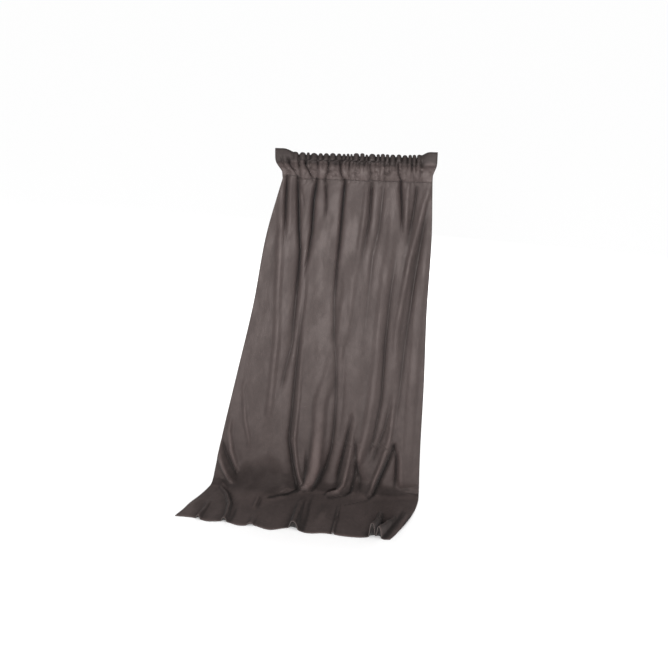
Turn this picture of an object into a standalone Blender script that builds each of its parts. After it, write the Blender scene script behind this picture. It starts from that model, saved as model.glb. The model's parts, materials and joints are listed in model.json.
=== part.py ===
"""Velvet curtain panel: a gathered rod pocket with a frill, and a drape that ends in a train on the floor.

Frame: the origin is on the rod's axis at the middle of the pocket. +X runs along the rod, the velvet face
looks towards -Y, and +Z is up. Every piece is a thin closed sheet, built on a grid of points in its middle
surface.
"""

import math

import bpy
import numpy as np

# The cloth, flat and unhung.
CUT_WIDTH = 1.40  # side to side
PANEL_LENGTH = 2.45  # frill fold to bottom edge
FRILL_HEIGHT = 0.045
POCKET_HEIGHT = 0.100  # frill stitches to pocket stitches, measured along the cloth
CLOTH = 0.0016  # thickness of the velvet
TURNING = 0.0014  # thickness of a turned hem, pressed
SIDE_HEM = 0.030
BOTTOM_HEM = 0.060
THREAD_WIDTH = 0.0010
THREAD = 0.0005
GAP = 0.0003  # air between pieces that lie on each other
THREAD_GAP = 0.00045  # threads stand a little further off, because the folds twist under them
PLY_GAP = 0.0007  # air between the heading's plies where they lie together

# How it hangs.
FLOOR_DROP = 1.912  # rod axis to floor
HEADING_WIDTH = 0.766  # gathered
FRILL_SEAM = 0.034  # frill stitches above the rod's axis
POCKET_BULGE = 0.021  # how far each ply stands off the pocket's middle at its fullest
BULGE_SKEW = 0.8  # under 1, the fullest level sits above the pocket's middle, where the rod lies
BREAK_LEFT = -0.840  # where the left edge meets the floor, along the rod's line
BREAK_RIGHT = 0.374  # where the right edge meets the floor
BREAK_RADIUS = 0.070  # of the turn from hanging to lying
TRAIN_LEAN = math.radians(18)  # the train runs forward and this much to the left
TUCK = 0.020  # length lost in wrinkles at the floor
EAR_WIDTH = 0.070  # the cloth at each end of the heading isn't gathered
EAR_FLARE = 0.034  # it stands out past the pocket seam
EAR_RISE = 0.026  # and above the gathered frill
EAR_FADE = (0.2, 1.4)  # an ear passes into the gathers between these places, in ear widths from the end
EAR_UPRIGHT = 0.5  # share of the frill's lean that an ear doesn't take
FRILL_LEAN = 0.018  # the frill's edge leans back

# Folds and gathers.
GATHERS = 24
GATHER_DEPTH = 0.0025
SEAM_DEPTH = 0.0004  # the gathers are nearly flat where the pocket stitches hold them
FRILL_DEPTH = 0.0045
FOLDS = 9
FOLD_DRIFT = 0.12  # the folds are wider on the right than on the left
FOLD_DEPTH = 0.022
DEPTH_SWING = 0.18  # share by which one fold is deeper than another
DEPTH_WAVES, DEPTH_PHASE = 2.3, 0.8
TRAIN_DEPTH = 0.012
TRAIN_LIFT = 0.25  # only the folds' crests, above this height of the wave, stay off the floor
FOLD_START = 0.45  # the folds reach their full depth this far below the seam

# The joint between the heading and the drape.
HINGE_GAP = 0.0006
SEAM_INSET = 0.004  # the pocket stitches run this far above the seam's lower edge
THREAD_CLEAR = 2.5  # thread widths from the end of the side hems to the bottom hem's stitches

FRONT_STEPS = 46
HANG_ROWS = 9
HANG_CROWDING = 1.5  # over 1, the rows crowd near the seam, where the folds grow
TURN_ROWS = 4
TRAIN_ROWS = 3
POCKET_ROWS = 7
FRILL_ROWS = 2

PLY_STEP = CLOTH + PLY_GAP
TRAIN_LEVEL = -FLOOR_DROP + TURNING + GAP + CLOTH / 2  # the cloth's middle where it lies on its turned hem
THREAD_OFFSET = CLOTH / 2 + THREAD_GAP + THREAD / 2
HEM_OFFSET = CLOTH / 2 + GAP + TURNING / 2
CORNER_CUT = 0.43  # in turn radii: a quarter turn is this much shorter than the square corner


def pocket_chord():
    """Height of the pocket as it hangs: the ply's length is spent on its bulge (shallow arc rule)."""
    return POCKET_HEIGHT * (1 - 8 / 3 * (POCKET_BULGE / POCKET_HEIGHT) ** 2)


SEAM = FRILL_SEAM - pocket_chord()
DRAPE_LENGTH = PANEL_LENGTH - FRILL_HEIGHT - POCKET_HEIGHT


def smooth(low, high, value):
    share = min(max((value - low) / (high - low), 0.0), 1.0)
    return share * share * (3 - 2 * share)


def mix(first, second, share):
    return first + (second - first) * share


def gathered(share):
    """Place along the rod of a share of the cloth's width: full width at the ends, gathered between them."""
    from_end = CUT_WIDTH * min(share, 1 - share)
    ratio = (HEADING_WIDTH / 2 - EAR_WIDTH) / (CUT_WIDTH / 2 - EAR_WIDTH)
    inward = min(from_end, EAR_WIDTH) + max(0.0, from_end - EAR_WIDTH) * ratio
    return math.copysign(HEADING_WIDTH / 2 - inward, share - 0.5)


def clear_scene():
    for obj in list(bpy.data.objects):
        bpy.data.objects.remove(obj, do_unlink=True)


def material(name, colour, roughness):
    made = bpy.data.materials.new(name)
    made.use_nodes = True
    shader = made.node_tree.nodes["Principled BSDF"]
    shader.inputs["Base Color"].default_value = (*colour, 1.0)
    shader.inputs["Roughness"].default_value = roughness
    shader.inputs["Metallic"].default_value = 0.0
    return made


def grid_normals(points):
    """Unit normals at the grid's points, from the facets round each. They look to the velvet face."""
    down = points[1:, :-1] - points[:-1, :-1]
    across = points[:-1, 1:] - points[:-1, :-1]
    facets = np.cross(across, -down)
    normals = np.zeros_like(points)
    for rows in (slice(None, -1), slice(1, None)):
        for columns in (slice(None, -1), slice(1, None)):
            normals[rows, columns] += facets
    return normals / np.linalg.norm(normals, axis=2, keepdims=True)


def sheet(name, points, normals, thickness, finish):
    """One closed body: the grid, half the thickness out on each side, with a rim round it."""
    rows, columns = points.shape[:2]
    half = normals * thickness / 2
    vertices = np.concatenate([(points + half).reshape(-1, 3), (points - half).reshape(-1, 3)])
    back = rows * columns
    faces = []
    for row in range(rows - 1):
        for column in range(columns - 1):
            corner = row * columns + column
            below = corner + columns
            faces += [(corner, below, below + 1), (corner, below + 1, corner + 1)]
    faces += [tuple(back + index for index in reversed(face)) for face in faces]
    rim = list(range(columns))
    rim += [row * columns + columns - 1 for row in range(1, rows)]
    rim += [(rows - 1) * columns + column for column in range(columns - 2, -1, -1)]
    rim += [row * columns for row in range(rows - 2, 0, -1)]
    for first, second in zip(rim, rim[1:] + rim[:1]):
        faces += [(first, second, back + second), (first, back + second, back + first)]
    mesh = bpy.data.meshes.new(name)
    mesh.from_pydata([tuple(map(float, vertex)) for vertex in vertices], [], faces)
    mesh.materials.append(finish)
    mesh.validate()
    obj = bpy.data.objects.new(name, mesh)
    bpy.context.scene.collection.objects.link(obj)
    return obj


def column_strip(points, column, width):
    """A strip of this width along one column of the grid, its edges lying on the facets beside the column."""
    middle = points[:, column]
    sides = []
    for neighbour in (column - 1, column + 1):
        away = points[:, neighbour] - middle
        sides.append(middle + away * (width / 2) / np.linalg.norm(away, axis=1, keepdims=True))
    return np.stack([sides[0], middle, sides[1]], axis=1)


def row_strip(points, row, width):
    """The same along one row."""
    return column_strip(points.transpose(1, 0, 2), row, width).transpose(1, 0, 2)


# --- the drape ------------------------------------------------------------------------------------------


def drape_columns():
    """Places across the cloth, as shares of its width. The hems' inner edges are one in from each end."""
    hem = SIDE_HEM / CUT_WIDTH
    inner = [mix(hem, 1 - hem, step / FRONT_STEPS) for step in range(FRONT_STEPS + 1)]
    return [0.0, *inner, 1.0]


def hang_line(share):
    """Start, hanging direction, forward direction, straight length and turn angle of one column of cloth."""
    start = np.array([gathered(share), 0.0, SEAM - HINGE_GAP / 2])
    landing = np.array([mix(BREAK_LEFT, BREAK_RIGHT, share), 0.0, TRAIN_LEVEL])
    ahead = np.array([-math.sin(TRAIN_LEAN), -math.cos(TRAIN_LEAN), 0.0])
    span = landing - start
    down = span / np.linalg.norm(span)
    turn = math.acos(float(down @ ahead))
    front = ahead - down * float(down @ ahead)
    front /= np.linalg.norm(front)
    straight = float(np.linalg.norm(span)) - BREAK_RADIUS * math.tan(turn / 2)
    return start, down, front, straight, turn


def drape_path(share, stretch):
    """Middle of the cloth without its folds, and its face's direction, at (stage, share of that stage)."""
    start, down, front, straight, turn = hang_line(share)
    stage, part = stretch
    if stage == "hang":
        return start + down * straight * part, front
    angle = turn * part if stage == "turn" else turn
    across = np.array([math.sin(angle), 1 - math.cos(angle)]) * BREAK_RADIUS
    place = start + down * (straight + across[0]) + front * across[1]
    face = front * math.cos(angle) - down * math.sin(angle)
    if stage == "train":
        ahead = down * math.cos(angle) + front * math.sin(angle)
        lying = DRAPE_LENGTH - TUCK - straight - BREAK_RADIUS * turn
        place = place + ahead * lying * part
    return place, face


def drape_rows():
    """The rows of the drape, from the seam down."""
    rows = [("hang", (step / HANG_ROWS) ** HANG_CROWDING) for step in range(HANG_ROWS)]
    rows += [("turn", step / TURN_ROWS) for step in range(TURN_ROWS)]
    lying = DRAPE_LENGTH - TUCK - FLOOR_DROP - SEAM - CORNER_CUT * BREAK_RADIUS
    hem_line = 1 - BOTTOM_HEM / lying
    stop = hem_line - THREAD_CLEAR * THREAD_WIDTH / lying
    rows += [("train", stop * step / TRAIN_ROWS) for step in range(TRAIN_ROWS + 1)]
    return [*rows, ("train", hem_line), ("train", mix(hem_line, 1.0, 0.5)), ("train", 1.0)]


HEM_STOP_ROW = HANG_ROWS + TURN_ROWS + TRAIN_ROWS
HEM_ROW = HEM_STOP_ROW + 1


def fold(share, stretch):
    """How far a point stands out of the drape's plain surface."""
    swell = math.cos(2 * math.pi * (FOLDS * share + FOLD_DRIFT * math.sin(2 * math.pi * share)))
    swing = DEPTH_SWING * math.sin(2 * math.pi * DEPTH_WAVES * share + DEPTH_PHASE)
    depth = FOLD_DEPTH * (1 - DEPTH_SWING + swing)
    stage, part = stretch
    if stage == "hang":
        below = part * (FLOOR_DROP + SEAM)
        return depth * swell * smooth(0.0, FOLD_START, below)
    lifted = TRAIN_DEPTH * max(0.0, swell - TRAIN_LIFT) / (1 - TRAIN_LIFT)
    if stage == "train":
        return lifted
    return mix(depth * swell, lifted, smooth(0.0, 1.0, part))


def drape_grid():
    rows = drape_rows()
    columns = drape_columns()
    points = np.empty((len(rows), len(columns), 3))
    for row, stretch in enumerate(rows):
        for column, share in enumerate(columns):
            place, face = drape_path(share, stretch)
            points[row, column] = place + face * fold(share, stretch)
    return points, grid_normals(points)


def make_drape(velvet, thread):
    points, normals = drape_grid()
    behind = points - normals * HEM_OFFSET
    above = points + normals * THREAD_OFFSET
    sheet("face_panel", points, normals, CLOTH, velvet)
    side_rows = slice(1, HEM_STOP_ROW + 1)
    edges = {"left": (slice(0, 2), 1), "right": (slice(-2, None), -2)}
    for side, (columns, inner) in edges.items():
        sheet(f"{side}_side_hem", behind[side_rows, columns], normals[side_rows, columns], TURNING, velvet)
        strip = column_strip(above, inner % points.shape[1], THREAD_WIDTH)[side_rows]
        beside = np.repeat(normals[side_rows, inner][:, None], 3, axis=1)
        sheet(f"{side}_hem_stitching", strip, beside, THREAD, thread)
    sheet("bottom_hem", behind[HEM_ROW:], normals[HEM_ROW:], TURNING, velvet)
    strip = row_strip(above, HEM_ROW, THREAD_WIDTH)
    along = np.repeat(normals[HEM_ROW][None], 3, axis=0)
    sheet("bottom_hem_stitching", strip, along, THREAD, thread)


# --- the heading ----------------------------------------------------------------------------------------


def heading_levels():
    """(height, bulge share, frill share) of each row of the heading, from the frill's edge down."""
    pleat_top = FRILL_SEAM + FRILL_HEIGHT * math.sqrt(1 - (FRILL_LEAN / FRILL_HEIGHT) ** 2)
    levels = []
    for step in range(FRILL_ROWS):
        part = 1 - step / FRILL_ROWS
        levels.append((mix(FRILL_SEAM, pleat_top, part), 0.0, part))
    low = SEAM + HINGE_GAP / 2
    inset = SEAM_INSET / (FRILL_SEAM - low)
    for step in range(POCKET_ROWS + 1):
        part = (1 - inset) * step / POCKET_ROWS
        bulge = math.sin(math.pi * (part / (1 - inset)) ** BULGE_SKEW)
        levels.append((mix(FRILL_SEAM, low, part), abs(bulge), 0.0))
    levels.append((low, 0.0, 0.0))
    return levels


SEAM_ROW = FRILL_ROWS + POCKET_ROWS


def heading_grid(side):
    """Middle surface of one ply: side is -1 for the front ply and 1 for the back ply."""
    levels = heading_levels()
    columns = 2 * GATHERS
    points = np.empty((len(levels), columns + 1, 3))
    for row, (height, bulge, frill) in enumerate(levels):
        depth = mix(GATHER_DEPTH, FRILL_DEPTH, frill)
        if row >= SEAM_ROW:
            depth = SEAM_DEPTH if row == SEAM_ROW else 0.0
        for column in range(columns + 1):
            share = column / columns
            from_end = CUT_WIDTH * min(share, 1 - share)
            ear = 1 - smooth(EAR_FADE[0] * EAR_WIDTH, EAR_FADE[1] * EAR_WIDTH, from_end)
            rise = (height - SEAM) / (FRILL_SEAM + FRILL_HEIGHT - SEAM)
            outward = math.copysign(EAR_FLARE * ear * rise**2, share - 0.5)
            ripple = depth * (1 if column % 2 else -1) * (1 - ear)
            y = side * POCKET_BULGE * bulge + ripple + FRILL_LEAN * frill * (1 - EAR_UPRIGHT * ear)
            if side > 0:
                y += PLY_STEP
            x = gathered(share) + outward
            points[row, column] = (x, y, height + EAR_RISE * frill * ear)
    return points, grid_normals(points)


def make_heading(velvet, thread):
    for name, side in (("heading_front", -1), ("heading_back", 1)):
        points, normals = heading_grid(side)
        sheet(name, points, normals, CLOTH, velvet)
    points, normals = heading_grid(-1)
    above = points + normals * THREAD_OFFSET
    for name, row in (("frill_stitching", FRILL_ROWS), ("pocket_stitching", SEAM_ROW)):
        strip = row_strip(above, row, THREAD_WIDTH)
        along = np.repeat(normals[row][None], 3, axis=0)
        sheet(name, strip, along, THREAD, thread)


def main():
    clear_scene()
    velvet = material("velvet", (0.105, 0.086, 0.083), 0.75)
    thread = material("thread", (0.060, 0.050, 0.048), 0.60)
    make_heading(velvet, thread)
    make_drape(velvet, thread)


main()
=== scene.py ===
"""The looks of the velvet curtain panel: cloth, hems, stitches and materials on the CAD frame."""

import json
import math

import bpy
import numpy as np
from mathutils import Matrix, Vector


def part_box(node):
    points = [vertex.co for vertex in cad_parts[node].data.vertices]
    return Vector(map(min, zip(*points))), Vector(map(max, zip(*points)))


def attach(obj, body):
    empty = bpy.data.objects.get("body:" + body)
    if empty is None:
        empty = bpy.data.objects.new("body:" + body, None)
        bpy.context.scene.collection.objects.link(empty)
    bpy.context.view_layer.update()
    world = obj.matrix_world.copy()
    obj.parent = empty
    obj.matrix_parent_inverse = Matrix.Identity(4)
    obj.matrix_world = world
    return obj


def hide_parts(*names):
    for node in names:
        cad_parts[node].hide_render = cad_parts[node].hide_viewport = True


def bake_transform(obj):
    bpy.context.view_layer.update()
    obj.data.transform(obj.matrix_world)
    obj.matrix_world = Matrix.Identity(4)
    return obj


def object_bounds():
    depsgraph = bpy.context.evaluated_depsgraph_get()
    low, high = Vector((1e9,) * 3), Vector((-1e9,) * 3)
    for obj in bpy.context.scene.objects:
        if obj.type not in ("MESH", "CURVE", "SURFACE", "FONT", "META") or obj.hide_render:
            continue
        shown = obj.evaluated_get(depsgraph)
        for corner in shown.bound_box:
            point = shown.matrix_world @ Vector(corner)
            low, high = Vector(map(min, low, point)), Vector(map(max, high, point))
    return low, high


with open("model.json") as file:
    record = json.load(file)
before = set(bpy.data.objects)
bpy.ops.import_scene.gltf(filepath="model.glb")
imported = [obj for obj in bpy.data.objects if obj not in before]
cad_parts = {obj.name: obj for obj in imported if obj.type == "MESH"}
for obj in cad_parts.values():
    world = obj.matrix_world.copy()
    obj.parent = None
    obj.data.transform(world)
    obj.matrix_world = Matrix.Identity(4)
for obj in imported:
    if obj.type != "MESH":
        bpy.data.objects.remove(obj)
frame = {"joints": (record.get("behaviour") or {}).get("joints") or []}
cad_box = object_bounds()

# The cloth, flat and unhung, in metres. A place is a share of the width, from the left edge.
# `down` is measured along the cloth from the lower edge of the pocket seam.
WIDTH = 1.40
FRILL = 0.045
POCKET = 0.100
LENGTH = 2.45
DRAPE = LENGTH - FRILL - POCKET
THICK = 0.0022  # ground and pile together
HEM_THICK = 0.0018  # of a turned ply
SIDE_HEM = 0.030
BOTTOM_HEM = 0.060
PLY_GAP = 1.3 * THICK  # between the middles of the front and the back ply where they are sewn
HEM_GAP = 1.08 * THICK  # between the middles of the cloth and of a turned ply
COLUMNS = 240

# Where the CAD puts things.
FLOOR = cad_box[0].z
SEAM_Z = frame["joints"][0]["pos_m"][2]
FRILL_Z = (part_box("frill_stitching")[0].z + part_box("frill_stitching")[1].z) / 2
SEAM_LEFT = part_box("pocket_stitching")[0].x
SEAM_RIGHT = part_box("pocket_stitching")[1].x

# Heights over the floor. The cloth's middle lies on the turned hem, and the least heights keep
# each piece's underside above the floor.
LYING = FLOOR + 0.0034
LEAST_CLOTH = FLOOR + 0.0032
LEAST_HEM = FLOOR + 0.0011
LEAST_STITCH = FLOOR + 0.0006
DROP = SEAM_Z - LYING

# The plain surface without its folds. The side edges and parts of the bottom edge rest on points
# that a camera solver worked out from the photo; the report lists this as an open fault.
# (share of the drop, x) of the side edges
LEFT_EDGE = [(0.0, SEAM_LEFT), (0.15, -0.470), (0.38, -0.560), (0.61, -0.668), (0.86, -0.785),
             (1.0, -0.845)]
RIGHT_EDGE = [(0.0, SEAM_RIGHT), (0.15, 0.390), (0.38, 0.380), (0.61, 0.380), (0.86, 0.374),
              (1.0, 0.376)]
# (place, radius of the turn onto the floor): the left middle slides out in a wide curve
TURNS = [(0.0, 0.035), (0.08, 0.12), (0.2, 0.27), (0.33, 0.24), (0.42, 0.10), (0.55, 0.07),
         (0.7, 0.10), (0.85, 0.08), (0.95, 0.05), (1.0, 0.03)]
# (place, x, y) of the bottom edge on the floor
HEM_LINE = [(0.0, -0.975, -0.353), (0.08, -0.865, -0.360), (0.14, -0.785, -0.384),
            (0.21, -0.69, -0.376), (0.28, -0.60, -0.405), (0.34, -0.525, -0.396),
            (0.42, -0.425, -0.426), (0.50, -0.315, -0.396), (0.57, -0.225, -0.432),
            (0.66, -0.12, -0.424), (0.76, -0.007, -0.440), (0.84, 0.087, -0.440),
            (0.90, 0.156, -0.424), (0.95, 0.205, -0.444), (1.0, 0.238, -0.442)]
HANGING = 1.0  # above this the cloth hangs with its face to the front

# The heading.
EAR = 0.105  # share of the seam, at each end, that isn't gathered
EAR_FLARE = (0.036, 0.020)  # left and right
EAR_RISE = 0.026
FRILL_LEAN = 0.018
FRILL_TALL = 0.041
FRILL_WAVE = 0.0055  # up and down of the frill's fold over the gathers
POCKET_BULGE = 0.016
BULGE_SKEW = 0.8
BACK_WAVE = 0.0075  # depth of the back ply's gathers
GATHERS = 24
SEAM_STITCH = -0.004  # where the pocket stitches run
# The seam's rise near the left ear.
CORNER_PLACE, CORNER_REACH = 0.055, 0.045
CORNER_LIFT, CORNER_FADE = 0.018, 0.12

# Depths, in metres, of the gathers at the seam, at the frill's stitches and at its fold, of the
# grooves along the stitches, and of the drape's slow undulation.
GATHER_SEAM, GATHER_STITCHES, GATHER_FOLD = 0.0012, 0.0050, 0.0090
SEAM_GROOVE, FRILL_GROOVE, GROOVE_REACH = 0.0026, 0.0008, 0.0030
UNDULATION = 0.006

# Tucks (height under 0) and ridges of the drape:
# (half width in mm, [(place, down in m, height in mm), ...]).
# Widths and heights are chosen one by one. Many places were picked on the photo and turned into
# places on the cloth by another script; the report lists this as an open fault.
STROKES = [
    # tucks from the pocket seam
    (7, [(0.03, 0.0, -26), (0.07, 0.14, -24), (0.12, 0.33, -4)]),
    (8, [(0.10, 0.0, -34), (0.14, 0.11, -38), (0.19, 0.27, -38), (0.22, 0.38, -32),
         (0.23, 0.49, -24), (0.235, 0.62, -8)]),
    (17, [(0.225, 0.40, -3), (0.235, 0.52, -12), (0.24, 0.66, -20), (0.265, 0.93, -18),
         (0.255, 1.10, -14), (0.25, 1.28, -3)]),
    (5, [(0.12, 0.02, -6), (0.165, 0.09, -6), (0.20, 0.17, 0)]),
    (8, [(0.23, 0.0, -38), (0.24, 0.11, -40), (0.27, 0.27, -32), (0.275, 0.41, -20),
         (0.265, 0.53, -3)]),
    (6, [(0.29, 0.0, -24), (0.33, 0.13, -12), (0.34, 0.24, 0)]),
    (7, [(0.42, 0.0, -38), (0.43, 0.10, -36), (0.45, 0.32, -26), (0.455, 0.48, -14),
         (0.465, 0.62, -3)]),
    (15, [(0.455, 0.48, -5), (0.465, 0.65, -12), (0.49, 0.85, -13), (0.52, 1.0, -14),
         (0.55, 1.26, -16), (0.56, 1.45, -20), (0.56, 1.58, -22), (0.545, 1.70, -26),
         (0.52, 1.79, -30), (0.49, 1.86, -22), (0.47, 1.89, -4)]),
    (8, [(0.60, 0.0, -20), (0.615, 0.20, -14), (0.60, 0.42, -3)]),
    (17, [(0.68, 0.03, -12), (0.68, 0.25, -15), (0.66, 0.40, -12), (0.66, 0.65, -8),
         (0.66, 0.95, -3)]),
    (7, [(0.79, 0.0, -30), (0.81, 0.14, -20), (0.82, 0.28, -1)]),
    (10, [(0.90, 0.02, -14), (0.885, 0.15, -16), (0.86, 0.32, -4)]),
    # broad ridges and the tucks beside them
    (20, [(0.02, 0.06, 5), (0.09, 0.33, 11), (0.14, 0.67, 13), (0.18, 0.94, 14), (0.21, 1.30, 13),
         (0.22, 1.45, 0)]),
    (12, [(0.055, 0.0, 7), (0.10, 0.14, 8), (0.14, 0.29, 1)]),
    (14, [(0.57, 0.0, 7), (0.58, 0.18, 8), (0.57, 0.50, 2)]),
    (38, [(0.53, 0.40, 2), (0.54, 0.60, 12), (0.54, 0.83, 10), (0.50, 1.10, 8), (0.47, 1.26, 16),
         (0.485, 1.45, 22), (0.49, 1.60, 30), (0.49, 1.70, 40), (0.475, 1.79, 46),
         (0.46, 1.85, 34), (0.45, 1.885, 4)]),
    (26, [(0.75, 0.04, 4), (0.76, 0.36, 9), (0.745, 0.50, 10), (0.74, 0.90, 11), (0.735, 1.24, 14),
         (0.72, 1.50, 20), (0.70, 1.62, 24), (0.69, 1.70, 2)]),
    (12, [(0.80, 0.40, -3), (0.785, 0.62, -10), (0.78, 0.90, -15), (0.785, 1.24, -16),
         (0.765, 1.50, -16), (0.735, 1.64, -4)]),
    (14, [(0.84, 0.01, 8), (0.84, 0.15, 12), (0.84, 0.24, 9), (0.84, 0.29, 0)]),
    (19, [(0.985, 0.0, 8), (0.95, 0.11, 17), (0.91, 0.27, 23), (0.88, 0.41, 24), (0.86, 0.58, 20),
         (0.84, 0.81, 13), (0.84, 1.05, 2)]),
    (16, [(0.97, 0.10, -6), (0.94, 0.30, -15), (0.915, 0.55, -16), (0.90, 0.75, -13),
         (0.885, 0.95, -10), (0.875, 1.24, -12), (0.86, 1.45, -4)]),
    (30, [(0.94, 0.35, 4), (0.95, 0.80, 8), (0.94, 1.25, 10), (0.94, 1.60, 8), (0.94, 1.78, 2)]),
    # the left middle: a bright ridge with a tuck beside it, running to a rounded tip at the floor
    (15, [(0.28, 0.50, -2), (0.29, 0.66, -9), (0.30, 0.93, -18), (0.315, 1.14, -20),
         (0.33, 1.33, -20), (0.34, 1.53, -22), (0.375, 1.69, -24), (0.41, 1.82, -16)]),
    (13, [(0.32, 0.88, 3), (0.33, 1.0, 7), (0.355, 1.27, 12), (0.37, 1.53, 20), (0.40, 1.69, 26),
         (0.43, 1.81, 26), (0.44, 1.87, 8)]),
    (13, [(0.41, 1.79, -10), (0.425, 1.87, -40), (0.39, 1.92, -60), (0.34, 1.975, -52),
         (0.30, 2.01, 0)]),
    (5, [(0.435, 1.60, -4), (0.445, 1.72, -12), (0.445, 1.79, -14), (0.43, 1.86, -10)]),
    (26, [(0.36, 1.80, 4), (0.365, 1.88, 20), (0.355, 1.94, 18), (0.33, 1.98, 0)]),
    # the middle: a ridge that ends in a rounded foot
    (14, [(0.56, 0.92, -3), (0.585, 1.25, -7), (0.59, 1.50, -4)]),
    (12, [(0.64, 1.32, 0), (0.64, 1.38, -12), (0.63, 1.51, -24), (0.61, 1.71, -30),
         (0.60, 1.80, -10)]),
    (17, [(0.665, 1.36, 3), (0.655, 1.60, 18), (0.645, 1.72, 32), (0.635, 1.81, 44),
         (0.615, 1.88, 46), (0.58, 1.905, 34), (0.555, 1.915, 0)]),
    (11, [(0.68, 1.60, -5), (0.69, 1.75, -22), (0.675, 1.85, -34), (0.655, 1.90, -20),
         (0.61, 1.935, -12), (0.57, 1.94, 0)]),
    (7, [(0.665, 1.46, -4), (0.685, 1.60, -14), (0.70, 1.73, -18), (0.72, 1.76, -4)]),
    (28, [(0.705, 1.72, -12), (0.715, 1.79, -30), (0.715, 1.88, -12)]),
    (24, [(0.945, 0.10, 0), (0.96, 0.35, 8), (0.97, 0.60, 2)]),
    # the right: diagonal folds
    (13, [(0.84, 1.18, -1), (0.835, 1.25, -8), (0.815, 1.43, -15), (0.785, 1.56, -13),
         (0.76, 1.67, -4)]),
    (15, [(0.85, 1.22, 4), (0.85, 1.40, 14), (0.84, 1.52, 22), (0.81, 1.66, 28), (0.785, 1.76, 30),
         (0.77, 1.86, 26), (0.765, 1.91, 0)]),
    (9, [(0.875, 1.50, 0), (0.865, 1.56, -24), (0.84, 1.66, -30), (0.815, 1.75, -32),
         (0.79, 1.86, -28), (0.77, 1.93, -20), (0.68, 2.00, -12), (0.66, 2.0, 0)]),
    (9, [(0.87, 1.54, -10), (0.885, 1.62, -22), (0.885, 1.74, -20), (0.88, 1.82, 0)]),
    (16, [(0.90, 1.50, 0), (0.905, 1.62, 14), (0.91, 1.76, 18), (0.91, 1.83, 0)]),
    (7, [(0.77, 1.93, 12), (0.70, 1.975, 14), (0.67, 2.0, 4)]),
    (8, [(0.90, 1.815, -4), (0.95, 1.80, -10), (1.0, 1.79, -8)]),
    (8, [(0.92, 1.85, -4), (0.96, 1.84, -10), (1.0, 1.835, -8)]),
    # the left edge: slanting ridges
    (15, [(0.015, 1.36, 0), (0.03, 1.49, 18), (0.065, 1.62, 28), (0.095, 1.70, 24),
         (0.12, 1.77, 0)]),
    (9, [(0.0, 1.54, -8), (0.035, 1.64, -16), (0.085, 1.74, -16), (0.13, 1.82, 0)]),
    (17, [(-0.01, 1.58, 8), (0.01, 1.66, 24), (0.055, 1.76, 38), (0.10, 1.84, 34),
         (0.12, 1.88, 0)]),
    (12, [(0.05, 1.12, 0), (0.055, 1.22, 9), (0.10, 1.41, 13), (0.14, 1.54, 10), (0.16, 1.64, 0)]),
    (7, [(0.0, 1.80, -8), (0.05, 1.83, -10), (0.09, 1.89, -4)]),
    # the train
    (14, [(0.05, 1.88, 0), (0.07, 1.92, 18), (0.12, 1.99, 28), (0.17, 2.11, 30), (0.20, 2.24, 30),
         (0.21, 2.31, 34)]),
    (13, [(0.06, 2.05, 0), (0.08, 2.16, 12), (0.10, 2.31, 30)]),
    (30, [(0.02, 2.0, 0), (0.01, 2.15, 10), (0.03, 2.24, 4)]),
    (20, [(0.31, 2.10, 0), (0.32, 2.20, 8), (0.33, 2.31, 18)]),
    (9, [(0.29, 1.99, -8), (0.295, 2.07, -14), (0.30, 2.13, 0)]),
    (15, [(0.275, 2.0, 10), (0.28, 2.07, 12), (0.285, 2.14, 0)]),
    (24, [(0.47, 1.93, 0), (0.475, 2.03, 16), (0.49, 2.14, 30), (0.505, 2.24, 48),
         (0.515, 2.31, 66)]),
    (30, [(0.60, 2.0, 0), (0.60, 2.12, 14), (0.60, 2.24, 4)]),
    (9, [(0.655, 2.02, 6), (0.675, 2.16, 16), (0.70, 2.31, 22)]),
    (15, [(0.85, 2.02, 0), (0.862, 2.12, 30), (0.875, 2.20, 84), (0.885, 2.31, 122)]),
    (13, [(0.93, 2.06, 0), (0.925, 2.13, 26), (0.922, 2.21, 70), (0.920, 2.31, 104)]),
    (13, [(0.950, 1.98, -6), (0.948, 2.10, -22), (0.948, 2.31, -22)]),
    (5, [(0.645, 2.02, -8), (0.665, 2.16, -10), (0.69, 2.31, -14)]),
    (12, [(0.51, 1.93, -6), (0.515, 2.03, -14), (0.535, 2.14, -16), (0.555, 2.31, -12)]),
    (8, [(0.215, 2.16, -8), (0.23, 2.24, -12), (0.235, 2.31, -8)]),
    (26, [(0.97, 1.98, 0), (0.975, 2.10, 22), (0.97, 2.22, 10)]),
]
NARROWED = 0.92  # share of the strokes' half widths that is drawn
BROAD = 0.025  # half width, in m, over which a ridge has a flatter top
RIDGE = 0.7  # share of a ridge's height that is drawn
CREASE_TIP = 0.24  # rounding of a tuck's bottom, in half widths

# Deep creases of the pocket: (place at the frill, place at the seam, depth in mm).
POCKET_CREASES = [(0.06, 0.10, -15), (0.11, 0.12, -12), (0.15, 0.205, -20), (0.31, 0.285, -17),
                  (0.385, 0.41, -19), (0.50, 0.49, -10), (0.585, 0.585, -13),
                  (0.70, 0.685, -9), (0.77, 0.795, -17), (0.86, 0.88, -9), (0.45, 0.455, -8),
                  (0.64, 0.65, -8), (0.24, 0.235, -9), (0.92, 0.93, -7), (0.03, 0.05, -8)]
POCKET_CREASE = 5.5  # their half width in mm
PUCKERS = 70

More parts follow.
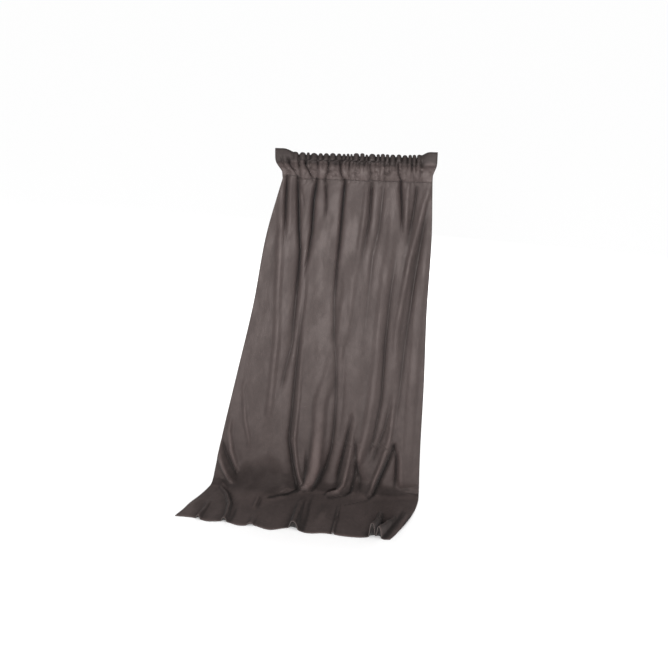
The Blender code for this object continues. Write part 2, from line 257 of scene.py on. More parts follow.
# Painted light and shade on the pile: shares of painted shade in a tuck, still more in a deep one,
# and of painted highlight on a crest; factors of painted shade on the turn, the frill and the
# seam, of painted light on the floor, the folds' feet and the pocket, and for a lighter bottom
# edge.
TUCK_PAINTED_SHADE, DEEP_PAINTED_SHADE, CREST_PAINTED_HIGHLIGHT = 0.55, 0.27, 0.14
TURN_PAINTED_SHADE, LYING_PAINTED_LIGHT, FOOT_PAINTED_LIGHT = 0.56, 2.45, 0.75
POCKET_PAINTED_LIGHT, FRILL_PAINTED_SHADE, SEAM_PAINTED_SHADE, BOTTOM_EDGE_LIGHTER = 1.30, 0.50, 0.5, 1.5
HEM_INNER_DARKER, HEM_ARCH_PAINTED_SHADE = 0.8, 0.12  # the bottom hem's inner part is drawn darker, and painted shade where it shows in its arches


def smooth(low, high, value):
    """0 under low, 1 over high, and eased between them."""
    share = np.clip((value - low) / (high - low), 0.0, 1.0)
    return share * share * (3 - 2 * share)


def mix(first, second, share):
    """First at share 0, second at share 1."""
    return first + (second - first) * share


def track(points, at):
    """Value at `at` of a smooth line through (place, value) points."""
    places, values = (np.array(part, float) for part in zip(*points))
    slopes = np.gradient(values, places)
    index = np.clip(np.searchsorted(places, at) - 1, 0, len(places) - 2)
    step = places[index + 1] - places[index]
    share = np.clip((at - places[index]) / step, 0.0, 1.0)
    first = (2 * share**3 - 3 * share**2 + 1) * values[index]
    first += (share**3 - 2 * share**2 + share) * step * slopes[index]
    second = (3 * share**2 - 2 * share**3) * values[index + 1]
    second += (share**3 - share**2) * step * slopes[index + 1]
    return first + second


def distances(points):
    """Distance of each point of a line from its first point, along the line."""
    steps = np.linalg.norm(np.diff(points, axis=0), axis=1)
    return np.concatenate([[0.0], np.cumsum(steps)])


def point_on(points, along, at):
    """The point, or points, at a distance on a line whose points have the distances `along`."""
    return [np.interp(at, along, points[:, axis]) for axis in range(3)]


# --- the plain surface ---------------------------------------------------------------------------


def edges(height):
    """x of both side edges, at a share of the drop."""
    return track(LEFT_EDGE, height), track(RIGHT_EDGE, height)


def ear_share(place):
    """1 in the flat ends of the heading and 0 in its gathered middle."""
    return 1 - smooth(0.35 * EAR, 1.15 * EAR, np.minimum(place, 1 - place))


def corner_lift(place):
    """How much the seam rises near the left ear."""
    return CORNER_LIFT * np.exp(-(((place - CORNER_PLACE) / CORNER_REACH) ** 2))


def heading_point(place, down, side):
    """The pocket and the frill. side is -1 for the front ply and 1 for the back ply."""
    part = np.clip(-down / POCKET, 0.0, 1.0)
    frill = np.clip((-down - POCKET) / FRILL, 0.0, 1.0)
    rise = (part * POCKET + frill * FRILL) / (POCKET + FRILL)
    ear = ear_share(place)
    outer = np.clip(1 - np.minimum(place, 1 - place) / EAR, 0.0, 1.0)
    flare = np.where(place < 0.5, -EAR_FLARE[0], EAR_FLARE[1])
    x = mix(SEAM_LEFT, SEAM_RIGHT, place) + flare * outer * smooth(0.25, 0.8, rise)
    bulge = np.abs(np.sin(math.pi * (1 - part) ** BULGE_SKEW)) ** 0.7
    y = side * POCKET_BULGE * bulge * (1 - 0.55 * outer)
    y = y + FRILL_LEAN * frill**1.3 * (1 - 0.6 * ear)
    z = mix(SEAM_Z, FRILL_Z, part) + FRILL_TALL * frill + EAR_RISE * frill * ear
    z = z + FRILL_WAVE * gather_wave(place) * frill
    z = z + corner_lift(place) * smooth(-0.09, -0.01, down)
    return np.stack([x, y, z], -1)


def train_point(place, share):
    """Where a place of the train lies, share of the way from the turn to the bottom edge."""
    left, right = edges(1.0)
    bend = mix(1.2, 1.9, smooth(0.7, 1.0, place))
    from_x = mix(left, right, place)
    hem_x = track([(p, x) for p, x, _ in HEM_LINE], place)
    hem_y = track([(p, y) for p, _, y in HEM_LINE], place)
    share = np.clip(share, 0.0, 1.5)
    x = from_x + (hem_x - from_x) * share**bend
    return np.stack([x, hem_y * share, np.full_like(x, LYING)], -1)


def drape_point(place, down):
    """The drape: straight down, round a turn, and out over the floor."""
    radius = track(TURNS, place)
    length = DRAPE - DROP
    left, right = edges(np.clip(down / DROP, 0.0, 1.0))
    hanging = np.stack([mix(left, right, place), np.zeros_like(place), SEAM_Z - down], -1)
    left, right = edges(1 - radius / DROP)
    start = np.stack([mix(left, right, place), np.zeros_like(place), LYING + radius], -1)
    corner = train_point(place, 0.0)
    end = train_point(place, radius / length)
    step = np.clip((down - DROP + radius) / (2 * radius), 0.0, 1.0)[..., None]
    turning = (1 - step) ** 2 * start + 2 * step * (1 - step) * corner + step**2 * end
    lying = train_point(place, (down - DROP) / length)
    before = (down < DROP - radius)[..., None]
    after = (down > DROP + radius)[..., None]
    return np.where(before, hanging, np.where(after, lying, turning))


def plain_point(place, down, side=-1):
    """A point of the plain surface. Above the seam, side is 1 for the back ply."""
    place, down = np.broadcast_arrays(np.asarray(place, float), np.asarray(down, float))
    heading = heading_point(place, np.minimum(down, 0), side)
    drape = drape_point(place, np.maximum(down, 0))
    point = np.where((down < 0)[..., None], heading, drape)
    lift = corner_lift(place) * np.exp(-np.maximum(down, 0) / CORNER_FADE)
    point[..., 2] += np.where(down >= 0, lift, 0.0)
    return point


def plain_normal(place, down):
    """Unit normals of one row of the plain surface, towards the velvet face."""
    step = 0.004
    across = plain_point(place + 0.5 * step, down) - plain_point(place - 0.5 * step, down)
    down = np.clip(down, -POCKET - FRILL + step, DRAPE - step)
    along = plain_point(place, down + step) - plain_point(place, down - step)
    normal = np.cross(along, across)
    if down < HANGING:
        normal *= np.where(normal[..., 1:2] > 0, -1, 1)
    return normal / np.linalg.norm(normal, axis=-1, keepdims=True)


# --- folds ---------------------------------------------------------------------------------------


def gather_places():
    """The creases between the heading's gathers, unevenly spaced between the ears."""
    widths = np.random.RandomState(5).uniform(0.5, 1.55, GATHERS)
    ends = np.concatenate([[0.0], np.cumsum(widths)]) / widths.sum()
    return 0.8 * EAR + (1 - 1.6 * EAR) * ends


CREASES = gather_places()
CRESTS = np.random.RandomState(9).uniform(0.35, 1.25, GATHERS)


def gather_wave(place):
    """Rounded crests with sharp creases between them, zero at the ears."""
    index = np.clip(np.searchsorted(CREASES, place) - 1, 0, GATHERS - 1)
    gap = CREASES[index + 1] - CREASES[index]
    share = np.clip((place - CREASES[index]) / gap, 0.0, 1.0)
    wave = (1 + CRESTS[index]) * np.abs(np.sin(math.pi * share)) ** 0.7 - 1
    return wave * (1 - ear_share(place))


def heading_strokes():
    """Creases of the pocket, from the frill to the drape's tucks, and short puckers between."""
    rng = np.random.RandomState(31)
    strokes = []
    for top, foot, depth in POCKET_CREASES:
        middle = mix(top, foot, 0.5) + rng.uniform(-0.008, 0.008)
        points = [(top, -0.112, depth), (middle, -0.05, 0.8 * depth), (foot, 0.0, depth)]
        strokes.append((POCKET_CREASE, points))
    for _ in range(PUCKERS):
        place, down = rng.uniform(0.01, 0.99), rng.uniform(-0.098, -0.014)
        turn, size = rng.uniform(0.2, 2.9), rng.uniform(0.006, 0.018)
        reach, drop = size * math.cos(turn) / (SEAM_RIGHT - SEAM_LEFT), size * math.sin(turn)
        height = rng.choice([-1, 1]) * rng.uniform(4.0, 9.0)
        end = 0.3 * height
        points = [(place - reach, down - drop, end), (place, down, height),
                  (place + reach, down + drop, end)]
        strokes.append((rng.uniform(4.5, 7.5), points))
    return strokes


def stroke_lines():
    """All strokes in metres, with x of the plain surface for their places."""
    lines = []
    for half_width, points in [*STROKES, *heading_strokes()]:
        placed = [(float(plain_point(p, d)[0]), d, h / 1000) for p, d, h in points]
        lines.append((half_width / 1000 * NARROWED, placed))
    return lines


STROKE_LINES = stroke_lines()


def stroke_height(x, down):
    """Sum of the strokes' heights, in metres, at places x of one row."""
    total = np.zeros_like(x)
    for half_width, points in STROKE_LINES:
        reach = 3 * half_width
        if not min(p[1] for p in points) - reach <= down <= max(p[1] for p in points) + reach:
            continue
        nearest = np.full_like(x, 1e9)
        height = np.zeros_like(x)
        for (x1, d1, h1), (x2, d2, h2) in zip(points, points[1:]):
            dx, dd = x2 - x1, d2 - d1
            share = ((x - x1) * dx + (down - d1) * dd) / max(dx * dx + dd * dd, 1e-9)
            share = np.clip(share, 0.0, 1.0)
            gap = np.hypot(x - x1 - share * dx, down - d1 - share * dd)
            closer = gap < nearest
            nearest = np.where(closer, gap, nearest)
            height = np.where(closer, mix(h1, h2, smooth(0.0, 1.0, share)), height)
        far = nearest / half_width
        flatness = mix(4.0 if half_width > BROAD else 2.4, 3.5, smooth(1.95, 2.15, down))
        crest = np.exp(-(far**flatness))
        crease = np.exp(CREASE_TIP - np.hypot(far, CREASE_TIP))
        total += height * np.where(height > 0, RIDGE * crest, crease)
    return total


def slow_noise(place, down):
    """Soft undulation of the cloth, longer down the cloth than across it, from -1 to 1."""
    total = np.zeros_like(place)
    for cells_across, cells_down, size, seed in ((17, 5, 0.62, 3), (33, 9, 0.38, 8)):
        random = np.random.RandomState(seed)
        grid = random.uniform(-1, 1, (cells_down + 2, cells_across + 2))
        v = np.clip(down / DRAPE, 0, 1) * cells_down
        row = min(int(v), cells_down - 1)
        line = mix(grid[row], grid[row + 1], smooth(0, 1, v - row))
        u = np.clip(place, 0, 1) * cells_across
        index = np.minimum(u.astype(int), cells_across - 1)
        total += size * mix(line[index], line[index + 1], smooth(0, 1, u - index))
    return total


def groove(down, middle):
    """Depth, from 0 to 1, of the groove along a row of stitches."""
    return math.exp(-(((down - middle) / GROOVE_REACH) ** 2))


def fold_height(place, x, down):
    """How far one row stands out of the plain surface. Folds start gently at the seam."""
    if down < -POCKET:
        size = mix(GATHER_STITCHES, GATHER_FOLD, (-down - POCKET) / FRILL)
    elif down < 0:
        size = mix(GATHER_SEAM, GATHER_STITCHES, smooth(0.55, 1.0, -down / POCKET))
    else:
        size = GATHER_SEAM * (1 - smooth(0.0, 0.04, down))
    grooves = SEAM_GROOVE * groove(down, SEAM_STITCH) + FRILL_GROOVE * groove(down, -POCKET)
    height = size * gather_wave(place) - grooves
    if down < 0:
        return height + stroke_height(x, down) * (1 - 0.5 * smooth(-0.03, 0.0, down))
    height = height + stroke_height(x, down) * mix(0.5, 1.0, smooth(0.0, 0.05, down))
    free = smooth(0.0, 0.25, down) * (1 - smooth(DROP - 0.1, DROP, down))
    return height + UNDULATION * slow_noise(place, down) * free


def settled(height, down):
    """Fold heights where the floor stops a fold from going down."""
    return mix(height, np.maximum(height, 0.0), smooth(DROP - 0.02, DROP + 0.12, down))


# --- the grid of the cloth -----------------------------------------------------------------------


def row_levels():
    """Distances down the cloth of its rows. The frill's fold is the first."""
    frill = np.linspace(-POCKET - FRILL, -POCKET - 0.005, 7)
    pocket = np.linspace(-POCKET + 0.005, -0.012, 14)
    seam = [-0.008, SEAM_STITCH, 0.0, 0.004]
    upper = np.linspace(0.010, 0.30, 31)
    middle = np.linspace(0.30, 1.42, 71)[1:]
    lower = np.linspace(1.42, DRAPE - 0.005, 72)[1:]
    return np.concatenate([frill, [-POCKET], pocket, seam, upper, middle, lower, [DRAPE]])


LEVELS = row_levels()
SHARES = np.linspace(0.0, 1.0, COLUMNS + 1)


def row_at(down):
    """The row nearest to a distance down the cloth."""
    return int(np.argmin(abs(LEVELS - down)))


HEM_START = row_at(0.004)  # the side hems start under the pocket seam
BACK_ROWS = row_at(0.0) + 3  # the back ply ends in a short turning under it


def row_places(down):
    """(place, height, drawn height) of one row's columns, evenly spaced along the folded cloth."""
    place = np.linspace(0.0, 1.0, 10 * COLUMNS + 1)
    plain = plain_point(place, down)
    drawn = fold_height(place, plain[:, 0], down)
    height = settled(drawn, down)
    steps = np.linalg.norm(np.diff(plain, axis=0), axis=1)
    along = np.concatenate([[0.0], np.cumsum(np.hypot(steps, np.diff(height)))])
    at = SHARES * along[-1]
    return [np.interp(at, along, values) for values in (place, height, drawn)]


def cloth_grid():
    """Points, places and drawn heights of the front cloth, row by row from the frill's fold."""
    rows = []
    for down in LEVELS:
        place, height, drawn = row_places(down)
        point = plain_point(place, down) + plain_normal(place, down) * height[:, None]
        rows.append((point, place, drawn))
    points, places, heights = (np.array(part) for part in zip(*rows))
    points[..., 2] = np.maximum(points[..., 2], LEAST_CLOTH)
    return points, places, heights


def grid_normals(points):
    """Unit normals of a grid, towards the velvet face."""
    normal = np.cross(np.gradient(points, axis=0), np.gradient(points, axis=1))
    return normal / np.maximum(np.linalg.norm(normal, axis=-1, keepdims=True), 1e-12)


def blurred(values, reach):
    """The rows of a grid smoothed over a number of columns."""
    span = np.arange(-3 * reach, 3 * reach + 1)
    weight = np.exp(-0.5 * (span / reach) ** 2)
    padded = np.pad(values, ((0, 0), (3 * reach, 3 * reach)), mode="edge")
    return np.array([np.convolve(line, weight / weight.sum(), "valid") for line in padded])


def up_share(normals):
    """How much the drape faces upwards, as it does on the floor and on the turn to it."""
    return np.where(LEVELS[:, None] > 0.6, np.clip(normals[..., 2], 0.0, 1.0), 0.0)


def painted_shading_of(heights, normals):
    """Painted shade in the tucks and on the turn to the floor, painted highlights on the crests.
    """
    levels = LEVELS[:, None]
    hollow = blurred(heights, 6) - heights
    lengthwise = (blurred(heights.T, 2).T - heights) * smooth(1.62, 1.78, levels)
    hollow = np.where(np.abs(lengthwise) > np.abs(hollow), lengthwise, hollow)
    # painted shade in tucks, deeper in deep ones, and painted highlights on crests
    nap = 1 - TUCK_PAINTED_SHADE * smooth(0.0, 0.010, hollow) - DEEP_PAINTED_SHADE * smooth(0.006, 0.020, hollow)
    nap += CREST_PAINTED_HIGHLIGHT * smooth(0.0, 0.009, -hollow)
    up = up_share(normals)
    # painted shade on the turn to the floor and painted light on the floor, by how far the cloth
    # faces up
    nap *= mix(1.0, TURN_PAINTED_SHADE, smooth(0.03, 0.42, up)) * mix(1.0, LYING_PAINTED_LIGHT, smooth(0.80, 0.99, up))
    # painted light on the folds' feet
    foot = smooth(0.006, 0.030, heights) * smooth(1.2, 1.5, levels)
    nap *= 1 + FOOT_PAINTED_LIGHT * foot * (1 - smooth(1.90, 1.96, levels))
    # painted light on the pocket and painted shade on the frill, with a ragged line between
    ragged = 0.006 * np.sin(37 * SHARES) + 0.004 * np.sin(101 * SHARES + 1.0)
    frill = smooth(-0.004, 0.008, -levels - POCKET + ragged)
    nap = nap * mix(np.where(levels < SEAM_STITCH, POCKET_PAINTED_LIGHT, 1.0), FRILL_PAINTED_SHADE, frill)
    # painted shade along the row of pocket stitches
    nap *= np.where(abs(levels - SEAM_STITCH) < 0.002, SEAM_PAINTED_SHADE, 1.0)
    # the bottom edge is drawn lighter
    nap[-2:] *= BOTTOM_EDGE_LIGHTER
    return nap


# --- the plies and hems --------------------------------------------------------------------------


def folded_over(points, normals):
    """The front cloth with two more rows, which carry the frill's fold over to the back ply."""
    up = points[0] - points[1]
    up /= np.linalg.norm(up, axis=-1, keepdims=True)
    rows = []
    for angle in (2.4, 1.2):
        turned = math.sin(angle) * up - (1 - math.cos(angle)) * normals[0]
        rows.append(points[0] + PLY_GAP / 2 * turned)
    return np.concatenate([np.array(rows), points])


def with_fold(values):
    """Values of the front cloth's rows, with the first row's for the two of the fold."""
    return np.concatenate([values[:1], values[:1], values])


def back_ply(points, places, normals):
    """The cloth behind the rod: it lies on the front ply at both rows of stitches and bulges
    backwards between them."""
    rows = []
    for row in range(BACK_ROWS):
        down = LEVELS[row]
        close = points[row] - normals[row] * PLY_GAP
        free = math.sin(math.pi * min(max(-down / POCKET, 0.0), 1.0)) ** 0.5
        plain = plain_point(places[row], min(down, 0.0), 1)
        plain[:, 1] += BACK_WAVE * gather_wave(1 - places[row])
        rows.append(mix(close, plain, free))
    return np.array(rows)


def at_distance(points, distance, from_left):
    """Points of every row at a distance along the cloth from one side edge."""
    line = []
    for row in points:
        row = row if from_left else row[::-1]
        line.append(point_on(row, distances(row), distance))
    return np.array(line)


def side_hem(points, normals, from_left):
    """The turned side edge, on the back of the front cloth, seen from behind."""
    behind = (points - normals * HEM_GAP)[HEM_START:]
    behind[..., 2] = np.maximum(behind[..., 2], LEAST_HEM)
    strips = [at_distance(behind, d, from_left) for d in np.linspace(0.0004, SIDE_HEM, 6)]
    return np.stack(strips[::-1] if from_left else strips, axis=1)


def bottom_hem(points, normals):
    """The turned bottom edge, which sags to the floor behind the cloth's edge, and its darkening,
    painted shade where it shows in the arches. It is seen from behind, and reaches a row further
    in than its width."""
    rows = LEVELS >= DRAPE - BOTTOM_HEM - 0.004
    inwards = (DRAPE - LEVELS[rows])[:, None]
    under = (points - normals * HEM_GAP)[rows]
    sag = smooth(0.0, 0.014, inwards)
    under[..., 2] = np.maximum(mix(under[..., 2], FLOOR, sag), LEAST_HEM)
    # painted shade where the hem shows in the arches, and a darker inner part
    nap = mix(HEM_ARCH_PAINTED_SHADE, HEM_INNER_DARKER, smooth(0.02, 0.05, inwards)) * np.ones(COLUMNS + 1)
    return under[:, ::-1], nap


def linked(name, data):
    """A new object of the scene."""
    obj = bpy.data.objects.new(name, data)
    bpy.context.scene.collection.objects.link(obj)
    return obj


def grid_mesh(name, points, nap=None, matt=None, across=WIDTH):
    """A cloth mesh with its flat measure as UVs, and painted shading and matt places as
    attributes.
    """
    rows, columns = points.shape[:2]
    index = np.arange(rows * columns).reshape(rows, columns)
    corners = [index[:-1, :-1], index[1:, :-1], index[1:, 1:], index[:-1, 1:]]
    quads = np.stack(corners, axis=-1).reshape(-1, 4)
    mesh = bpy.data.meshes.new(name)
    mesh.from_pydata(points.reshape(-1, 3).tolist(), [], quads.tolist())
    mesh.shade_smooth()
    steps = np.linalg.norm(np.diff(points, axis=0), axis=-1).mean(axis=1)
    down = np.concatenate([[0.0], np.cumsum(steps)])
    flat = np.stack(np.meshgrid(np.linspace(0.0, across, columns), down), axis=-1).reshape(-1, 2)
    uv = mesh.uv_layers.new(name="flat")
    uv.data.foreach_set("uv", flat[quads.reshape(-1)].astype(np.float32).reshape(-1))
    for kind, values, plain in (("nap", nap, 1.0), ("matt", matt, 0.0)):
        values = np.full((rows, columns), plain) if values is None else values
        layer = mesh.attributes.new(kind, "FLOAT", "POINT")
        layer.data.foreach_set("value", values.astype(np.float32).reshape(-1))
    return linked(name, mesh)


def thicken(obj, thickness):
    """Gives a sheet its thickness. A second material goes on the back and the rim."""
    solid = obj.modifiers.new("thickness", "SOLIDIFY")
    solid.thickness = thickness
    solid.offset = 0
    if len(obj.data.materials) > 1:
        solid.material_offset = solid.material_offset_rim = 1


# --- stitches ------------------------------------------------------------------------------------

STITCH_PITCH = 0.0046
STITCH_LONG = 0.0034
STITCH_RADIUS = 0.00042
STITCH_ARCH = (0.6, 1.2)  # rise of the middle and fall towards the ends, in radii
STITCH_RINGS = [(-0.8, 0.75), (-0.35, 1.0), (0.35, 1.0), (0.8, 0.75)]  # (place, width)
STITCH_SIDES = 6
STITCH_INSET = 0.003  # from a hem's inner edge
STITCH_OUT = THICK / 2  # from the middle of the cloth
HEM_STITCH_OUT = HEM_GAP + 0.0009


def stitch_verts(middle, run, out):
    """One stitch: a thread that arches out of the cloth and dips in at both ends."""
    side = run.cross(out).normalized()
    half = run * STITCH_LONG / 2
    verts = [middle - half - out * STITCH_RADIUS]
    for share, width in STITCH_RINGS:
        arch = STITCH_RADIUS * (STITCH_ARCH[0] - STITCH_ARCH[1] * share * share)
        centre = middle + half * share + out * arch
        for turn in range(STITCH_SIDES):
            angle = 2 * math.pi * turn / STITCH_SIDES
            spoke = side * math.cos(angle) + out * math.sin(angle)
            verts.append(centre + spoke * STITCH_RADIUS * width)
    verts.append(middle + half - out * STITCH_RADIUS)
    return verts


def stitch_faces(first):
    """Faces of one stitch whose verts start at `first`."""
    faces = []
    rings = [first + 1 + ring * STITCH_SIDES for ring in range(len(STITCH_RINGS))]
    last = rings[-1] + STITCH_SIDES
    for turn in range(STITCH_SIDES):
        after = (turn + 1) % STITCH_SIDES
        faces.append((first, rings[0] + after, rings[0] + turn))
        for low, high in zip(rings, rings[1:]):
            faces.append((low + turn, low + after, high + after, high + turn))
        faces.append((rings[-1] + turn, rings[-1] + after, last))
    return faces


def stitching(name, lines, material):
    """Rows of stitches, each along a line of points with normals."""
    verts, faces = [], []
    for points, normals in lines:
        along = distances(points)
        count = int(along[-1] / STITCH_PITCH)
        for at in (np.arange(count) + 0.5) * along[-1] / count:
            ahead, behind = (Vector(point_on(points, along, at + s)) for s in (0.001, -0.001))
            run = (ahead - behind).normalized()
            out = Vector(point_on(normals, along, at)).normalized()
            faces += stitch_faces(len(verts))
            verts += stitch_verts(Vector(point_on(points, along, at)), run, out)
    mesh = bpy.data.meshes.new(name)
    mesh.from_pydata(verts, [], faces)
    mesh.shade_smooth()
    obj = linked(name, mesh)
    obj.data.materials.append(material)
    return obj


def side_hem_line(points, normals, from_left):
    """The line of a side hem's stitches, on the back of the hem, and the way they face."""
    behind = (points - normals * HEM_STITCH_OUT)[HEM_START:]
    behind[..., 2] = np.maximum(behind[..., 2], LEAST_STITCH)
    column = 3 if from_left else -4
    line = at_distance(behind, SIDE_HEM - STITCH_INSET, from_left)
    return line, -normals[HEM_START:, column]


# --- materials -----------------------------------------------------------------------------------

PILE_COLOUR = (0.0300, 0.0221, 0.0208)
PILE_SHINE = (1.0, 0.89, 0.86, 1)
PILE_ROUGHNESS = (0.66, 0.52)  # where it is brushed down and up
MATT_ROUGHNESS = 0.35  # more on the turn to the floor
BRUSHED = (0.92, 1.08)
WEAVE_COLOUR = (0.088, 0.071, 0.067)
THREAD_COLOURS = ((0.012, 0.009, 0.009, 1), (0.034, 0.027, 0.026, 1))


def new_material(name):
    """A material with its nodes, links, shader and texture coordinates."""
    mat = bpy.data.materials.new(name)
    mat.use_nodes = True
    nodes, links = mat.node_tree.nodes, mat.node_tree.links
    return mat, nodes, links, nodes["Principled BSDF"], nodes.new("ShaderNodeTexCoord")


def set_sockets(node, **values):
    """Sets sockets of a node, by names with underscores for spaces."""
    for name, value in values.items():
        node.inputs[name.replace("_", " ")].default_value = value


def noise(nodes, links, coords, scale, stretch, detail):
    """A noise texture over the flat cloth, stretched down the cloth."""
    mapping = nodes.new("ShaderNodeMapping")
    mapping.inputs["Scale"].default_value = (scale, scale / stretch, 1)
    links.new(coords.outputs["UV"], mapping.inputs["Vector"])
    texture = nodes.new("ShaderNodeTexNoise")
    set_sockets(texture, Scale=1.0, Detail=detail, Roughness=0.55)
    links.new(mapping.outputs["Vector"], texture.inputs["Vector"])
    return texture.outputs["Fac"]


def remap(nodes, links, source, low, high, out_low, out_high):
    """A value eased from one range to another."""
    node = nodes.new("ShaderNodeMapRange")
    node.interpolation_type = "SMOOTHSTEP"
    set_sockets(node, From_Min=low, From_Max=high, To_Min=out_low, To_Max=out_high)
    links.new(source, node.inputs["Value"])
    return node.outputs["Result"]


def maths(nodes, links, operation, first, second):
    """Two values, of which the second may be a number, put together by an operation."""
    node = nodes.new("ShaderNodeMath")
    node.operation = operation
    links.new(first, node.inputs[0])
    if isinstance(second, float):
        node.inputs[1].default_value = second
    else:
        links.new(second, node.inputs[1])
    return node.outputs["Value"]


def shaded(nodes, links, colour, shade, shader):
    """Gives the shader a colour that is scaled by a shade."""
    scaled = nodes.new("ShaderNodeVectorMath")
    scaled.operation = "SCALE"
    scaled.inputs[0].default_value = colour
    links.new(shade, scaled.inputs["Scale"])
    links.new(scaled.outputs["Vector"], shader.inputs["Base Color"])


def bump(nodes, links, height, strength, distance, below=None):
    """Bump from a height, on top of another bump's normal."""
    node = nodes.new("ShaderNodeBump")
    set_sockets(node, Strength=strength, Distance=distance)
    links.new(height, node.inputs["Height"])
    if below is not None:
        links.new(below, node.inputs["Normal"])
    return node.outputs["Normal"]


def attribute(nodes, name):
    """A point attribute of the mesh."""
    node = nodes.new("ShaderNodeAttribute")
    node.attribute_name = name
    return node.outputs["Fac"]


def velvet():
    """Cut pile: mottled where it is brushed, with painted shade in the tucks and a fine grain of
    tufts.
    """
    mat, nodes, links, shader, coords = new_material("velvet")
    brushed = remap(nodes, links, noise(nodes, links, coords, 9, 1.7, 2.5), 0.30, 0.70, *BRUSHED)
    patches = remap(nodes, links, noise(nodes, links, coords, 40, 1.3, 3), 0.30, 0.70, 0.93, 1.08)
    tufts = noise(nodes, links, coords, 900, 1.0, 3)
    grain = remap(nodes, links, tufts, 0.3, 0.7, 0.86, 1.14)
    shade = brushed
    # the pile's colour is scaled by the painted light and shade stored on the mesh
    for factor in (patches, grain, attribute(nodes, "nap")):
        shade = maths(nodes, links, "MULTIPLY", shade, factor)
    shaded(nodes, links, PILE_COLOUR, shade, shader)
    rough = remap(nodes, links, brushed, *BRUSHED, *PILE_ROUGHNESS)
    matt = maths(nodes, links, "MULTIPLY", attribute(nodes, "matt"), MATT_ROUGHNESS)
    links.new(maths(nodes, links, "ADD", rough, matt), shader.inputs["Roughness"])
    wrinkles = bump(nodes, links, noise(nodes, links, coords, 22, 1.3, 3), 0.55, 0.004)
    links.new(bump(nodes, links, tufts, 0.4, 0.0005, wrinkles), shader.inputs["Normal"])
    set_sockets(shader, Specular_IOR_Level=0.34, Specular_Tint=PILE_SHINE)
    set_sockets(shader, Sheen_Weight=0.05, Sheen_Roughness=0.4)
    return mat


def ground():
    """The velvet's reverse, a plain weave lighter than the pile, which also covers the rim."""
    mat, nodes, links, shader, coords = new_material("velvet_reverse")
    threads = []
    for direction in ("X", "Y"):
        wave = nodes.new("ShaderNodeTexWave")
        wave.bands_direction = direction
        set_sockets(wave, Scale=220.0, Distortion=1.5, Detail=1.0)
        links.new(coords.outputs["UV"], wave.inputs["Vector"])
        threads.append(wave.outputs["Fac"])
    weave = maths(nodes, links, "MULTIPLY", *threads)
    slubs = remap(nodes, links, noise(nodes, links, coords, 30, 3.0, 3), 0.3, 0.7, 0.96, 1.04)
    raised = remap(nodes, links, weave, 0.0, 1.0, 0.9, 1.1)
    shaded(nodes, links, WEAVE_COLOUR, maths(nodes, links, "MULTIPLY", slubs, raised), shader)
    links.new(bump(nodes, links, weave, 0.3, 0.0003), shader.inputs["Normal"])
    set_sockets(shader, Roughness=0.85, Specular_IOR_Level=0.25)
    return mat


def thread():
    """Twisted thread, dark as the shaded pile it sinks into."""
    mat, nodes, links, shader, coords = new_material("thread")
    twist = nodes.new("ShaderNodeTexWave")
    twist.bands_direction = "DIAGONAL"
    set_sockets(twist, Scale=900.0, Distortion=2.0)
    links.new(coords.outputs["Object"], twist.inputs["Vector"])
    ramp = nodes.new("ShaderNodeValToRGB")
    for element, colour in zip(ramp.color_ramp.elements, THREAD_COLOURS):
        element.color = colour
    links.new(twist.outputs["Color"], ramp.inputs["Fac"])
    links.new(ramp.outputs["Color"], shader.inputs["Base Color"])
    links.new(bump(nodes, links, twist.outputs["Fac"], 1.0, 0.0001), shader.inputs["Normal"])
    set_sockets(shader, Roughness=0.6)
    return mat


# --- camera, floor and light ---------------------------------------------------------------------


def make_camera():
    """The camera as solved from the slopes of the rod line, the floor line and the bottom edge."""
    azimuth, distance, height = math.radians(5.28), 4.981, 1.268
    pitch, turn = math.radians(23.545), math.radians(1.345)
    focal, frame_width = 1001, 668  # in pixels of the photograph's frame
    camera = bpy.data.cameras.new("camera")
    camera.sensor_width = 36.0
    camera.lens = camera.sensor_width * focal / frame_width
    obj = linked("camera", camera)
    obj.location = (distance * math.sin(azimuth), -distance * math.cos(azimuth), height)
    obj.rotation_euler = (math.pi / 2 - pitch, 0.0, azimuth + turn)
    bpy.context.scene.camera = obj


def add_light(name, place, target, size, power):
    """A square area light of a size in metres and a power in watts, turned to a target."""
    light = bpy.data.lights.new(name, "AREA")
    light.shape = "SQUARE"
    light.size = size
    light.energy = power
    obj = linked(name, light)
    obj.location = place
    obj.rotation_euler = (Vector(target) - Vector(place)).to_track_quat("-Z", "Y").to_euler()


def make_stage():
    """A white floor, a white world, and a soft light in front of the cloth and one behind it."""
    bpy.ops.mesh.primitive_plane_add(size=600, location=(0, 0, FLOOR))
    floor = bpy.context.object
    floor.name = "floor"
    mat = bpy.data.materials.new("floor")
    mat.use_nodes = True
    shader = mat.node_tree.nodes["Principled BSDF"]
    set_sockets(shader, Base_Color=(0.94, 0.94, 0.94, 1), Roughness=0.9, Specular_IOR_Level=0.0)
    floor.data.materials.append(mat)
    world = bpy.data.worlds.new("world")
    bpy.context.scene.world = world
    world.use_nodes = True
    set_sockets(world.node_tree.nodes["Background"], Color=(1, 1, 1, 1), Strength=1.05)
    add_light("front", (-0.2, -4.3, -1.30), (-0.2, 0.0, -0.95), 1.2, 220)
    add_light("behind", (0.6, 4.3, 0.2), (-0.2, 0.0, -1.0), 1.6, 110)
    bpy.context.scene.view_settings.view_transform = "Standard"


# --- the curtain ---------------------------------------------------------------------------------

make_camera()
make_stage()
pile, thread_mat, reverse = velvet(), thread(), ground()
points, places, heights = cloth_grid()
normals = grid_normals(points)
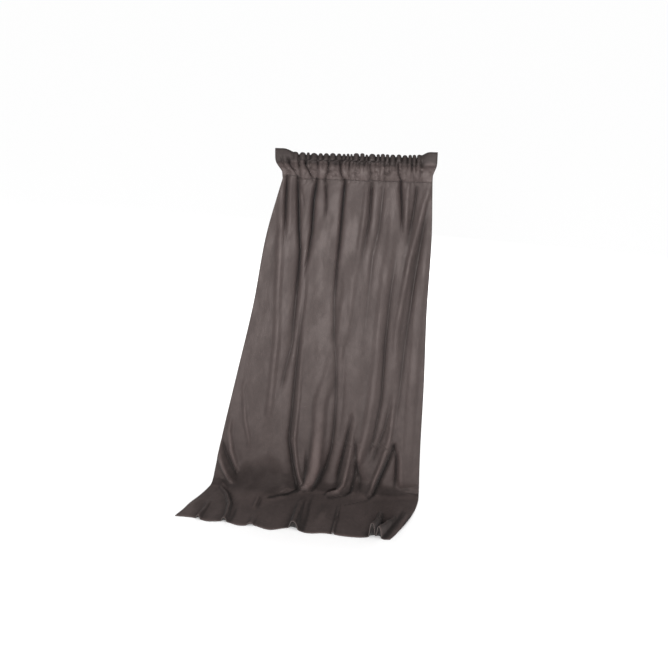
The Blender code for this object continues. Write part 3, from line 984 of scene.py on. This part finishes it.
# painted light and shade of the pile, stored on the cloth and the back ply
nap = painted_shading_of(heights, normals)
matt = smooth(0.02, 0.25, up_share(normals))
back = back_ply(points, places, normals)

cloth = grid_mesh("curtain_cloth", folded_over(points, normals), with_fold(nap), with_fold(matt))
pocket_back = grid_mesh("pocket_back", back[:, ::-1], nap[:BACK_ROWS, ::-1])
left = grid_mesh("left_hem", side_hem(points, normals, True), across=SIDE_HEM)
right = grid_mesh("right_hem", side_hem(points, normals, False), across=SIDE_HEM)
bottom = grid_mesh("bottom_hem_strip", *bottom_hem(points, normals))
for piece in (cloth, pocket_back, left, right, bottom):
    piece.data.materials.append(pile)
cloth.data.materials.append(reverse)
for piece in (cloth, pocket_back):
    thicken(piece, THICK)
for piece in (left, right, bottom):
    thicken(piece, HEM_THICK)

stitch_lines = {}
for name, row in (("frill_stitches", row_at(-POCKET)), ("pocket_stitches", row_at(SEAM_STITCH))):
    out = STITCH_OUT * normals[row]
    stitch_lines[name] = [(points[row] + out, normals[row]), (back[row] - out, -normals[row])]
stitch_lines["left_hem_stitches"] = [side_hem_line(points, normals, True)]
stitch_lines["right_hem_stitches"] = [side_hem_line(points, normals, False)]
row = row_at(DRAPE - BOTTOM_HEM + STITCH_INSET)
line = points[row] + STITCH_OUT * normals[row]
stitch_lines["bottom_hem_stitches"] = [(line, normals[row])]
stitches = {name: stitching(name, lines, thread_mat) for name, lines in stitch_lines.items()}

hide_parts("heading_front", "face_panel")
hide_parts("heading_back")
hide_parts("left_side_hem")
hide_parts("right_side_hem")
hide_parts("bottom_hem")
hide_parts("frill_stitching")
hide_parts("pocket_stitching")
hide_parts("left_hem_stitching")
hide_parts("right_hem_stitching")
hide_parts("bottom_hem_stitching")
for piece in (pocket_back, stitches["frill_stitches"], stitches["pocket_stitches"]):
    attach(piece, "heading")
hem_threads = [stitches[name] for name in ("left_hem_stitches", "right_hem_stitches",
                                           "bottom_hem_stitches")]
for piece in (cloth, left, right, bottom, *hem_threads):
    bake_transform(piece)
